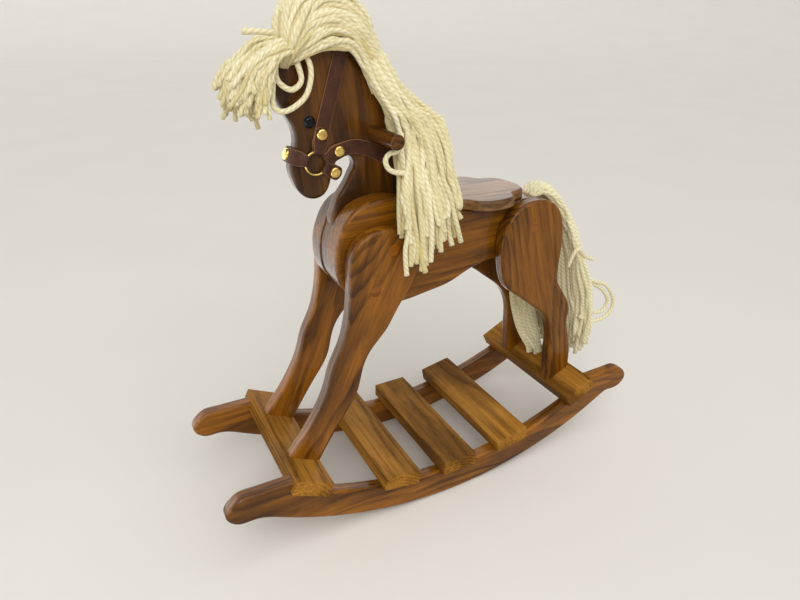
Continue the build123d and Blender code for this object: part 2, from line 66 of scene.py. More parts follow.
class Sock:
    """A node's output that takes part in Python arithmetic."""

    def __init__(self, graph: "Graph", socket: bpy.types.NodeSocket) -> None:
        """Keep the graph and the output."""
        self.graph = graph
        self.socket = socket

    def math(self, operation: str, first: Any, second: Any = 0.0) -> "Sock":
        """Add a Math node of that operation on two values."""
        return self.graph.node("ShaderNodeMath", {"operation": operation}, {0: first, 1: second})

    def __add__(self, other: Any) -> "Sock":
        """Sum."""
        return self.math("ADD", self, other)

    __radd__ = __add__

    def __sub__(self, other: Any) -> "Sock":
        """Difference."""
        return self.math("SUBTRACT", self, other)

    def __rsub__(self, other: Any) -> "Sock":
        """Difference the other way round."""
        return self.math("SUBTRACT", other, self)

    def __mul__(self, other: Any) -> "Sock":
        """Product."""
        return self.math("MULTIPLY", self, other)

    __rmul__ = __mul__

    def __truediv__(self, other: Any) -> "Sock":
        """Quotient."""
        return self.math("DIVIDE", self, other)

    def __pow__(self, other: Any) -> "Sock":
        """Power."""
        return self.math("POWER", self, other)

    def sine(self) -> "Sock":
        """Sine of the value."""
        return self.math("SINE", self)

    def fract(self) -> "Sock":
        """What is left of the value above its whole part."""
        return self.math("FRACT", self)


Value = Union[float, Colour, Triple, Sock]


class Graph:
    """One material and the nodes that make it."""

    def __init__(self, name: str) -> None:
        """Start a material with a Principled shader on its output.

        Args:
            name: The material's name.
        """
        self.material = bpy.data.materials.new(name)
        self.material.use_nodes = True
        tree = self.material.node_tree
        tree.nodes.clear()
        self.nodes, self.links = tree.nodes, tree.links
        self.shader = self.nodes.new("ShaderNodeBsdfPrincipled")
        output = self.nodes.new("ShaderNodeOutputMaterial")
        self.links.new(self.shader.outputs[0], output.inputs[0])

    def node(self, kind: str, settings: dict[str, Any], inputs: dict[Any, Value], output: Any = 0) -> Sock:
        """Add a node.

        Args:
            kind: The node's type.
            settings: Its own settings, set first; "stops" gives a ramp's places and colours.
            inputs: Values or links by input name or number.
            output: The output that is wanted.

        Returns:
            That output.
        """
        made = self.nodes.new(kind)
        for key, value in settings.items():
            if key == "stops":
                ramp = made.color_ramp
                while len(ramp.elements) < len(value):
                    ramp.elements.new(1.0)
                for element, (place, colour) in zip(ramp.elements, value):
                    element.position, element.color = place, colour
            else:
                setattr(made, key, value)
        self.fill(made, inputs)
        return Sock(self, made.outputs[output])

    def fill(self, node: bpy.types.Node, inputs: dict[Any, Value]) -> None:
        """Set or link a node's inputs.

        Args:
            node: The node.
            inputs: Values or links by input name or number.
        """
        for key, value in inputs.items():
            if isinstance(value, Sock):
                self.links.new(value.socket, node.inputs[key])
            else:
                node.inputs[key].default_value = value

    def ramp(self, value: Sock, stops: Sequence[Pair]) -> Sock:
        """Carry a value through a ramp of grey stops."""
        greys = [(place, (grey, grey, grey, 1.0)) for place, grey in stops]
        return self.node("ShaderNodeValToRGB", {"stops": greys}, {0: value})

    def blend(self, first: Value, second: Value, mask: Value) -> Sock:
        """Mix two colours, the second where the mask is 1."""
        return self.node("ShaderNodeMix", {"data_type": "RGBA"}, {0: mask, 6: first, 7: second}, 2)

    def noise(self, vector: Sock, scale: float = 1.0, detail: float = 2.0) -> Sock:
        """Smooth noise from 0 to 1 on a vector."""
        return self.node("ShaderNodeTexNoise", {}, {"Vector": vector, "Scale": scale, "Detail": detail})

    def vector(self, x: Value, y: Value, z: Value) -> Sock:
        """Join three values into a vector."""
        return self.node("ShaderNodeCombineXYZ", {}, {0: x, 1: y, 2: z})

    def place(self) -> Sock:
        """The point on the piece, in metres."""
        return self.node("ShaderNodeTexCoord", {}, {}, "Object")

    def bump(self, height: Sock, strength: float, distance: float) -> None:
        """Feed a height to the shader's normal."""
        self.feed({"Normal": self.node("ShaderNodeBump", {}, {
            "Height": height, "Strength": strength, "Distance": distance})})

    def feed(self, inputs: dict[str, Value]) -> None:
        """Set or link the shader's own inputs."""
        self.fill(self.shader, inputs)


@dataclass(frozen=True)
class Stain:
    """The colours of one stained oak board."""

    light: Colour
    mid: Colour
    dark: Colour
    pore: Colour


class Stains(Enum):
    """The stains that the boards carry; the head's stain is also darkened as painted shade."""

    FACE = Stain((0.36, 0.130, 0.008, 1), (0.195, 0.065, 0.004, 1),
                 (0.034, 0.012, 0.002, 1), (0.012, 0.004, 0.001, 1))
    # The head stain is darker than the oak's own as painted shade: the shade of the mane and forelock on neck
    # and head.
    HEAD = Stain((0.175, 0.064, 0.007, 1), (0.080, 0.028, 0.003, 1),
                 (0.020, 0.007, 0.002, 1), (0.009, 0.004, 0.001, 1))
    SLAT = Stain((0.47, 0.215, 0.034, 1), (0.29, 0.124, 0.018, 1),
                 (0.078, 0.031, 0.005, 1), (0.024, 0.010, 0.002, 1))
    SEAT = Stain((0.30, 0.150, 0.050, 1), (0.19, 0.090, 0.028, 1),
                 (0.075, 0.034, 0.011, 1), (0.030, 0.014, 0.005, 1))
    PLUG = Stain((0.37, 0.122, 0.009, 1), (0.26, 0.082, 0.006, 1),
                 (0.12, 0.036, 0.004, 1), (0.03, 0.009, 0.002, 1))
    FLANK = Stain((0.285, 0.103, 0.005, 1), (0.154, 0.051, 0.003, 1),
                  (0.027, 0.010, 0.002, 1), (0.010, 0.003, 0.001, 1))


@dataclass(frozen=True)
class Streak:
    """A noise drawn out along the grain, and the mask that it gives.

    along and across are waves per metre. The mask rises from floor to 1 between two heights of the noise.
    """

    along: float
    across: float
    octaves: float = 2.0
    low: float = 0.0
    high: float = 1.0
    floor: float = 0.0


# How dark a yearly ring is, from its start to its end.
RING_TONES = ((0.0, 0.9), (0.12, 1.0), (0.42, 0.30), (0.75, 0.0), (0.92, 0.15), (1.0, 0.9))


@dataclass(frozen=True)
class Oak:
    """Glossy stained oak, sawn with its grain along one direction.

    The rings are circles about a pith line that lies depth behind the board's face and leans along it, so
    flat faces show arched bands: r = sqrt((v + lean*u + wobble)^2 + (w + depth)^2), with u along the grain, v
    across the face and w through it, in metres. Each ring opens with a dark porous band that fades into dense
    wood, and the stain lies darker in long patches and fine lines. The shares say how strongly each shows.
    """

    name: str
    grain: Triple
    face: Triple
    stain: Stain
    depth: float = 0.055
    lean: float = 0.10
    spacing: float = 0.0075
    seed: float = 0.0
    bands: float = 0.80
    gloss: float = 0.32
    specular_by_gloss: float = 0.3
    coat_roughness: float = 0.10
    wobble: Streak = Streak(4.0, 12.0)
    wobble_reach: float = 0.044
    ragged: Streak = Streak(7.0, 46.0)
    ragged_rings: float = 1.5
    band_fade: Streak = Streak(6.0, 24.0, 2.0, 0.34, 0.62, 0.20)
    pore: Streak = Streak(60.0, 1150.0, 2.0, 0.53, 0.66)
    fibre: Streak = Streak(8.0, 190.0, 4.0, 0.30, 0.70)
    patch: Streak = Streak(6.0, 26.0, 3.0, 0.44, 0.66)
    line: Streak = Streak(9.0, 330.0, 3.0, 0.52, 0.66)
    fibre_share: float = 0.85
    patch_share: float = 0.68
    line_share: float = 0.36
    pore_share: float = 0.75
    pores_in_dense_wood: float = 0.3
    roughness: float = 0.36
    pore_roughness: float = 0.20
    fibre_roughness: float = 0.05
    pore_height: float = 0.7
    band_height: float = 0.2
    relief: float = 0.14
    relief_depth: float = 0.0005

    def material(self, centre: Sequence[float]) -> bpy.types.Material:
        """Make the material for a board.

        Args:
            centre: The middle of the board, in metres.

        Returns:
            The material.
        """
        graph = Graph(self.name)
        along = np.array(self.grain) / np.linalg.norm(self.grain)
        through = np.array(self.face) - along * np.dot(self.face, along)
        through /= np.linalg.norm(through)
        across = np.cross(through, along)
        local = graph.node("ShaderNodeVectorMath", {"operation": "SUBTRACT"},
                           {0: graph.place(), 1: tuple(centre)})
        u, v, w = (graph.node("ShaderNodeVectorMath", {"operation": "DOT_PRODUCT"},
                              {0: local, 1: tuple(axis)}, "Value") for axis in (along, across, through))

        def noise(kind: Streak) -> Sock:
            """Noise drawn out along the grain."""
            stretched = graph.vector(u * kind.along + self.seed, v * kind.across, w * kind.across)
            return graph.noise(stretched, 1.0, kind.octaves)

        def mask(kind: Streak) -> Sock:
            """The mask of a streaked noise."""
            return graph.ramp(noise(kind), [(kind.low, kind.floor), (kind.high, 1.0)])

        wobble = (noise(self.wobble) - 0.5) * self.wobble_reach
        radius = graph.node("ShaderNodeVectorMath", {"operation": "LENGTH"},
                            {0: graph.vector(0.0, v + u * self.lean + wobble, w + self.depth)}, "Value")
        ring = (radius / self.spacing + (noise(self.ragged) - 0.5) * self.ragged_rings).fract()
        early = graph.ramp(ring, RING_TONES) * mask(self.band_fade)
        pores = mask(self.pore) * (early * (1 - self.pores_in_dense_wood) + self.pores_in_dense_wood)
        fibre, patch, lines = mask(self.fibre), mask(self.patch), mask(self.line)
        colour = graph.blend(self.stain.light, self.stain.mid, fibre * self.fibre_share)
        for dark, share in ((patch, self.patch_share), (early, self.bands), (lines, self.line_share)):
            colour = graph.blend(colour, self.stain.dark, dark * share)
        colour = graph.blend(colour, self.stain.pore, pores * self.pore_share)
        graph.feed({
            "Base Color": colour,
            "Roughness": pores * self.pore_roughness + fibre * self.fibre_roughness + self.roughness,
            "Coat Weight": self.gloss,
            "Coat Roughness": self.coat_roughness,
            "Specular IOR Level": self.specular_by_gloss * self.gloss,
        })
        graph.bump(1.0 - pores * self.pore_height - early * self.band_height, self.relief, self.relief_depth)
        return graph.material


@dataclass(frozen=True)
class Leather:
    """Dark red-brown strap leather with pale cut edges."""

    name: str = "bridle_leather"
    face: Colour = (0.046, 0.016, 0.008, 1)
    worn: Colour = (0.085, 0.030, 0.014, 1)
    cut: Colour = (0.36, 0.18, 0.085, 1)
    cut_share: float = 0.55
    pebble_scale: float = 1500.0
    crease_scale: float = 420.0
    wear_scale: float = 90.0
    roughness: float = 0.34
    specular: float = 0.25
    relief: float = 0.22
    relief_depth: float = 0.0004

    def material(self) -> bpy.types.Material:
        """Make the leather: fine pebble grain, creases, and a cut edge from the rim attribute.

        Returns:
            The material.
        """
        graph = Graph(self.name)
        point = graph.place()
        pebble = graph.node("ShaderNodeTexVoronoi", {},
                            {"Vector": point, "Scale": self.pebble_scale}, "Distance")
        crease = graph.noise(point, self.crease_scale, 3.0)
        wear = graph.ramp(graph.noise(point, self.wear_scale, 3.0), [(0.35, 0.0), (0.75, 1.0)])
        rim = graph.node("ShaderNodeAttribute", {"attribute_name": "rim"}, {}, "Fac")
        edge = graph.ramp(rim, [(0.90, 0.0), (0.975, 1.0)])
        colour = graph.blend(self.face, self.worn, wear)
        colour = graph.blend(colour, self.cut, edge * self.cut_share)
        graph.feed({"Base Color": colour, "Roughness": crease * 0.2 + edge * 0.25 + self.roughness,
                    "Specular IOR Level": self.specular})
        graph.bump(pebble * 0.6 + crease * 0.4, self.relief, self.relief_depth)
        return graph.material


@dataclass(frozen=True)
class Metal:
    """Polished metal with soft tarnish and fine scratches."""

    name: str
    bright: Colour
    dull: Colour
    roughness: float
    tarnish_scale: float = 240.0
    scratch_scale: float = 2600.0
    relief: float = 0.05
    relief_depth: float = 0.0002

    def material(self) -> bpy.types.Material:
        """Make the metal.

        Returns:
            The material.
        """
        graph = Graph(self.name)
        point = graph.place()
        tarnish = graph.ramp(graph.noise(point, self.tarnish_scale, 4.0), [(0.35, 0.0), (0.70, 1.0)])
        scratch = graph.noise(point, self.scratch_scale, 2.0)
        graph.feed({"Base Color": graph.blend(self.bright, self.dull, tarnish), "Metallic": 1.0,
                    "Roughness": tarnish * 0.14 + scratch * 0.08 + self.roughness})
        graph.bump(scratch, self.relief, self.relief_depth)
        return graph.material


@dataclass(frozen=True)
class Glass:
    """Glossy black of the eyes, with a faint grey ring at the foot of the dome."""

    name: str = "eye_black"
    black: Colour = (0.004, 0.004, 0.005, 1)
    foot_grey: Colour = (0.13, 0.13, 0.14, 1)
    speck_scale: float = 900.0
    roughness: float = 0.03
    specular: float = 0.2

    def material(self, wood_face: float, height: float) -> bpy.types.Material:
        """Make the finish.

        Args:
            wood_face: How far the head's face lies from the middle plane, in metres.
            height: How far the dome stands off it, in metres.

        Returns:
            The material.
        """
        graph = Graph(self.name)
        point = graph.place()
        sides = graph.node("ShaderNodeSeparateXYZ", {}, {0: point}, 1)
        lift = (sides.math("ABSOLUTE", sides) - wood_face) / height
        rim = graph.ramp(lift, [(0.0, 1.0), (0.30, 0.35), (0.55, 0.0)])
        speck = graph.noise(point, self.speck_scale, 2.0)
        graph.feed({"Base Color": graph.blend(self.black, self.foot_grey, rim),
                    "Roughness": speck * 0.05 + rim * 0.12 + self.roughness,
                    "Specular IOR Level": self.specular})
        return graph.material


@dataclass(frozen=True)
class Wool:
    """Cream plied yarn: the plies wind round the strand, as stripes sin(2 pi plies (u + v)) on its UV map."""

    name: str = "cream_yarn"
    plies: int = 3
    # The yarn's cream lit and in shade: painted highlight and painted shade, which its colour runs between.
    lit_cream: Colour = (0.94, 0.90, 0.67, 1)
    shaded_cream: Colour = (0.52, 0.41, 0.12, 1)
    shade_share: float = 0.75
    fuzz_scale: float = 1400.0
    roughness: float = 0.82
    sheen: float = 0.35
    sheen_roughness: float = 0.5
    specular: float = 0.15
    relief: float = 0.40
    relief_depth: float = 0.0008

    def material(self) -> bpy.types.Material:
        """Make the yarn's finish from its UV map and its shade attribute.

        Returns:
            The material.
        """
        graph = Graph(self.name)
        uv = graph.node("ShaderNodeTexCoord", {}, {}, "UV")
        u = graph.node("ShaderNodeSeparateXYZ", {}, {0: uv}, 0)
        v = graph.node("ShaderNodeSeparateXYZ", {}, {0: uv}, 1)
        shade = graph.node("ShaderNodeAttribute", {"attribute_name": "shade"}, {}, "Fac")
        ply = ((u + v) * (2 * np.pi * self.plies)).sine() * 0.5 + 0.5
        fibre = graph.noise(graph.vector((u + v) * 40.0, v * 4.0, shade * 30.0), 1.0, 3.0)
        fuzz = graph.noise(graph.place(), self.fuzz_scale, 2.0)
        # Between the two creams: the plies' grooves darkened as painted shade, and fibre noise as the yarn's
        # own uneven tone.
        colour = graph.blend(self.shaded_cream, self.lit_cream, ply ** 0.6 * 0.45 + fibre * 0.50 + 0.15)
        # Strands with low shade values lean towards the shaded cream: painted shade.
        colour = graph.blend(colour, self.shaded_cream, (1.0 - shade) * self.shade_share)
        graph.feed({"Base Color": colour, "Roughness": fuzz * 0.1 + self.roughness,
                    "Sheen Weight": self.sheen, "Sheen Roughness": self.sheen_roughness,
                    "Specular IOR Level": self.specular})
        graph.bump(ply * 0.5 + fibre * 0.5 + fuzz * 0.4, self.relief, self.relief_depth)
        return graph.material


def curve_through(points: np.ndarray, count: int) -> np.ndarray:
    """Smooth curves through rows of control points.

    Each stretch between points p1 and p2 is the cubic whose tangent at a point is half the step between its
    neighbours: p = ((2 p1) + (p2 - p0) t + (2 p0 - 5 p1 + 4 p2 - p3) t^2 + (3 p1 - p0 - 3 p2 + p3) t^3) / 2.

    Args:
        points: Control points, curves by points by three.
        count: Points wanted along each curve.

    Returns:
        Curves by count by three.
    """
    first = 2 * points[:, :1] - points[:, 1:2]
    last = 2 * points[:, -1:] - points[:, -2:-1]
    padded = np.concatenate([first, points, last], axis=1)
    place = np.linspace(0, points.shape[1] - 1, count)
    step = np.minimum(place.astype(int), points.shape[1] - 2)
    t = (place - step)[None, :, None]
    p0, p1, p2, p3 = (padded[:, step + k] for k in range(4))
    return 0.5 * (2 * p1 + (p2 - p0) * t + (2 * p0 - 5 * p1 + 4 * p2 - p3) * t ** 2
                  + (3 * p1 - p0 - 3 * p2 + p3) * t ** 3)


def even_steps(curves: np.ndarray) -> np.ndarray:
    """Move the points of each curve to equal steps along its length.

    Args:
        curves: Curves by points by three.

    Returns:
        As many curves and points.
    """
    lengths = np.linalg.norm(np.diff(curves, axis=1), axis=2)
    run = np.concatenate([np.zeros((len(curves), 1)), np.cumsum(lengths, axis=1)], axis=1)
    share = np.linspace(0, 1, curves.shape[1])
    return np.stack([np.stack([np.interp(share * r[-1], r, c[:, k]) for k in range(3)], axis=1)
                     for r, c in zip(run, curves)])


def tangents_of(curves: np.ndarray) -> np.ndarray:
    """Unit tangents of each curve, from the step between a point's neighbours."""
    steps = np.gradient(curves, axis=1)
    return steps / np.linalg.norm(steps, axis=2, keepdims=True)


def mesh_object(name: str, points: np.ndarray, quads: np.ndarray, triangles: np.ndarray) -> bpy.types.Object:
    """Put arrays of points and faces into a smooth mesh object at the origin.

    Args:
        name: The object's name.
        points: Points by three, in metres.
        quads: Quads by four point numbers.
        triangles: Triangles by three point numbers.

    Returns:
        The object, in the scene.
    """
    mesh = bpy.data.meshes.new(name)
    loops = np.concatenate([quads.ravel(), triangles.ravel()]).astype(np.int32)
    totals = np.concatenate([np.full(len(quads), 4), np.full(len(triangles), 3)]).astype(np.int32)
    starts = np.concatenate([[0], np.cumsum(totals)[:-1]]).astype(np.int32)
    mesh.vertices.add(len(points))
    mesh.vertices.foreach_set("co", points.astype(np.float32).ravel())
    mesh.loops.add(len(loops))
    mesh.loops.foreach_set("vertex_index", loops)
    mesh.polygons.add(len(totals))
    mesh.polygons.foreach_set("loop_start", starts)
    mesh.polygons.foreach_set("loop_total", totals)
    mesh.polygons.foreach_set("use_smooth", np.ones(len(totals), bool))
    mesh.update(calc_edges=True)
    mesh.validate()
    made = bpy.data.objects.new(name, mesh)
    bpy.context.scene.collection.objects.link(made)
    return made


def tube_faces(strands: int, rings: int, sides: int) -> tuple[np.ndarray, np.ndarray]:
    """Quads of tubes whose points run strand by strand and ring by ring, and fans on their end points.

    Args:
        strands: How many tubes there are.
        rings: Rings along each.
        sides: Points round a ring.

    Returns:
        The quads and the triangles; the end points follow all rings, two to a strand.
    """
    base = (np.arange(strands) * rings * sides)[:, None, None]
    row = (np.arange(rings - 1) * sides)[None, :, None]
    here = np.arange(sides)[None, None, :]
    after = (here + 1) % sides
    near, far = base + row, base + row + sides
    quads = np.stack([near + here, near + after, far + after, far + here], axis=-1).reshape(-1, 4)
    ends = strands * rings * sides + 2 * np.arange(strands)[:, None]
    low = base[:, 0]
    high = low + (rings - 1) * sides
    ring, turned = here[0], after[0]
    start = np.stack([np.broadcast_to(ends, (strands, sides)), low + turned, low + ring], axis=-1)
    stop = np.stack([np.broadcast_to(ends + 1, (strands, sides)), high + ring, high + turned], axis=-1)
    return quads, np.concatenate([start.reshape(-1, 3), stop.reshape(-1, 3)])


@dataclass
class Yarn:
    """One sort of plied yarn, laid along many paths.

    flare and pinch are how much a strand widens at its cut end and narrows at its root, as shares of the
    radius; flare_run, root_tip and cut_tip are lengths, also in radii.
    """

    radius: float = 2.8 * MM
    sides: int = 8
    step: float = 3.0 * MM
    pitch: float = 20.0 * MM
    flare: float = 0.16
    flare_run: float = 2.2
    pinch: float = 0.25
    root_tip: float = 0.3
    cut_tip: float = 0.35
    measuring_points: int = 80
    finer: int = 4

    def lay(self, name: str, routes: np.ndarray, shades: np.ndarray, gauge: float = 1.0) -> bpy.types.Object:
        """Lay strands along routes.

        A strand's surface is p(s) + r(s) (cos a n + sin a b), with n and b square to the path; n is the part
        of the path's flattest direction that is square to the tangent. r swells towards the cut end and
        narrows at the root.

        Args:
            name: The piece's name.
            routes: Control points, strands by points by three, in metres.
            shades: How pale each strand is, 0 to 1, with painted light and shade in it.
            gauge: The strands' thickness as a share of the yarn's own.

        Returns:
            The piece.
        """
        rough = curve_through(routes, self.measuring_points)
        lengths = np.linalg.norm(np.diff(rough, axis=1), axis=2).sum(axis=1)
        rings = int(np.ceil(lengths.max() / self.step)) + 1
        paths = even_steps(curve_through(routes, self.finer * rings))[:, ::self.finer]
        tangents = tangents_of(paths)
        centred = paths - paths.mean(axis=1, keepdims=True)
        _, axes = np.linalg.eigh(np.einsum("nmi,nmj->nij", centred, centred))
        flattest = np.broadcast_to(axes[:, None, :, 0], paths.shape)
        normals = flattest - tangents * np.einsum("nmi,nmi->nm", flattest, tangents)[..., None]
        normals /= np.linalg.norm(normals, axis=2, keepdims=True)
        sideways = np.cross(tangents, normals)
        run = np.linspace(0, 1, rings)[None, :] * lengths[:, None]
        left = lengths[:, None] - run
        swell = (1 + self.flare * np.exp(-left / (self.flare_run * self.radius))
                 - self.pinch * np.exp(-run / self.radius))
        angle = np.linspace(0, 2 * np.pi, self.sides, endpoint=False)
        cos, sin = (wave(angle)[None, None, :, None] for wave in (np.cos, np.sin))
        reach = (gauge * self.radius * swell)[:, :, None, None]
        surface = paths[:, :, None] + reach * (cos * normals[:, :, None] + sin * sideways[:, :, None])
        tips = np.stack([paths[:, 0] - tangents[:, 0] * self.radius * self.root_tip,
                         paths[:, -1] + tangents[:, -1] * self.radius * self.cut_tip], axis=1)
        points = np.concatenate([surface.reshape(-1, 3), tips.reshape(-1, 3)])
        quads, fans = tube_faces(len(paths), rings, self.sides)
        piece = mesh_object(name, points, quads, fans)
        self.mark(piece, run / self.pitch, shades, len(fans))
        return piece

    def mark(self, piece: bpy.types.Object, twist: np.ndarray, shades: np.ndarray, fans: int) -> None:
        """Give a piece its UV map, u round the strand and v in turns of twist along it, and its shades.

        Args:
            piece: The piece.
            twist: Turns of twist up to each ring, strands by rings.
            shades: How pale each strand is, 0 to 1, with painted light and shade in it.
            fans: How many end triangles follow the quads.
        """
        strands, rings = twist.shape
        around = np.arange(self.sides) / self.sides
        u = np.broadcast_to(around[None, None, :], (strands, rings - 1, self.sides))
        near = np.broadcast_to(twist[:, :-1, None], u.shape)
        far = np.broadcast_to(twist[:, 1:, None], u.shape)
        turn = 1 / self.sides
        corners = np.stack([np.stack([u, near], -1), np.stack([u + turn, near], -1),
                            np.stack([u + turn, far], -1), np.stack([u, far], -1)], axis=3)
        spread = np.concatenate([corners.reshape(-1, 2), np.zeros((3 * fans, 2))])
        layer = piece.data.uv_layers.new(name="strand")
        layer.data.foreach_set("uv", spread.astype(np.float32).ravel())
        tone = np.concatenate([np.repeat(shades, rings * self.sides), np.repeat(shades, 2)])
        shade = piece.data.attributes.new("shade", "FLOAT", "POINT")
        shade.data.foreach_set("value", tone.astype(np.float32))


@dataclass
class Hank:
    """A bundle of yarn that runs between guide lines, in millimetres.

    depth is how far the outer strands lie off the guides; scatter and wave are how far strands stray; trim
    is the most that is cut off, as a share of the guide; splay widens the ends; gauge is the thickness as a
    share of the yarn's own. Tones run from 0 to 1: pale lightens or darkens a whole bundle and the inner
    strands are darker, both painted light and shade, while a random scatter is each strand's own tone. Loose
    strands have lines of their own.
    """

    name: str
    node: str
    body: str
    guides: Guides
    count: int
    depth: Triple
    scatter: float
    seed: int
    trim: float = 0.10
    splay: float = 1.6
    wave: float = 0.9
    levels: int = 18
    gauge: float = 1.0
    pale: float = 0.55
    loose: Guides = ()
    loose_tone: float = 0.85
    inner_layer: float = -0.4
    root_share: float = 0.4
    root_run: float = 0.3
    splay_from: float = 0.6
    drift_points: int = 6
    finer: int = 6
    inner_shade_tone: float = 0.40
    tone_scatter: float = 0.16
    darkest: float = 0.05

    def routes(self) -> tuple[np.ndarray, np.ndarray]:
        """Spread the strands between the guides.

        A strand at share q across the bundle mixes its two neighbour guides. It is pushed outwards by a share
        of depth, drifts off by a smooth random line that grows towards its end, waves a little, and is cut to
        its own share of the line.

        Returns:
            Control points in metres, and each strand's paleness.
        """
        chance = np.random.default_rng(self.seed)
        guides = curve_through(np.asarray(self.guides, float), self.levels)
        place = np.arange(self.count) + chance.uniform(0.1, 0.9, self.count)
        share = place / self.count * (len(guides) - 1)
        low = np.minimum(share.astype(int), len(guides) - 2)
        mix = (share - low)[:, None, None]
        routes = guides[low] * (1 - mix) + guides[low + 1] * mix
        layer = chance.permutation(np.linspace(self.inner_layer, 1.0, self.count))
        down = np.linspace(0, 1, self.levels)[None, :, None]
        settled = np.clip(down / self.root_run, 0, 1)
        splayed = np.clip((down - self.splay_from) / (1 - self.splay_from), 0, 1)
        grow = self.root_share + (1 - self.root_share) * settled + (self.splay - 1) * splayed ** 2
        routes = routes + layer[:, None, None] * np.array(self.depth)[None, None, :] * grow
        bends = chance.normal(0, self.scatter, (self.count, self.drift_points, 3))
        drift = curve_through(bends, self.levels)
        routes = routes + (drift + chance.normal(0, self.wave, routes.shape)) * grow
        fine = curve_through(routes, self.finer * self.levels)
        length = 1 - self.trim * chance.uniform(0, 1, self.count)
        place = np.linspace(0, 1, self.levels)[None, :] * length[:, None] * (fine.shape[1] - 1)
        step = np.minimum(place.astype(int), fine.shape[1] - 2)
        part = (place - step)[..., None]
        row = np.arange(self.count)[:, None]
        routes = fine[row, step] * (1 - part) + fine[row, step + 1] * part
        # Inner strands darker as painted shade, pale as the bundle's painted light or shade; the normal
        # scatter is each strand's own tone.
        tones = self.pale + self.inner_shade_tone * layer + chance.normal(0, self.tone_scatter, self.count)
        return routes * MM, np.clip(tones, self.darkest, 1.0)

    def build(self, yarn: Yarn, finish: bpy.types.Material) -> list[bpy.types.Object]:
        """Lay the bundle and its loose strands, and set them on their body in place of the plain solid.

        Args:
            yarn: The yarn to lay.
            finish: Its material.

        Returns:
            The pieces.
        """
        routes, shades = self.routes()
        pieces = [yarn.lay(f"{self.name}_yarn", routes, shades, self.gauge)]
        for number, points in enumerate(self.loose, 1):
            route = np.array([points], float) * MM
            pieces.append(yarn.lay(f"{self.name}_loop_{number}", route, np.array([self.loose_tone])))
        for piece in pieces:
            piece.data.materials.append(finish)
            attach(piece, self.body)
            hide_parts(self.node)
        return pieces


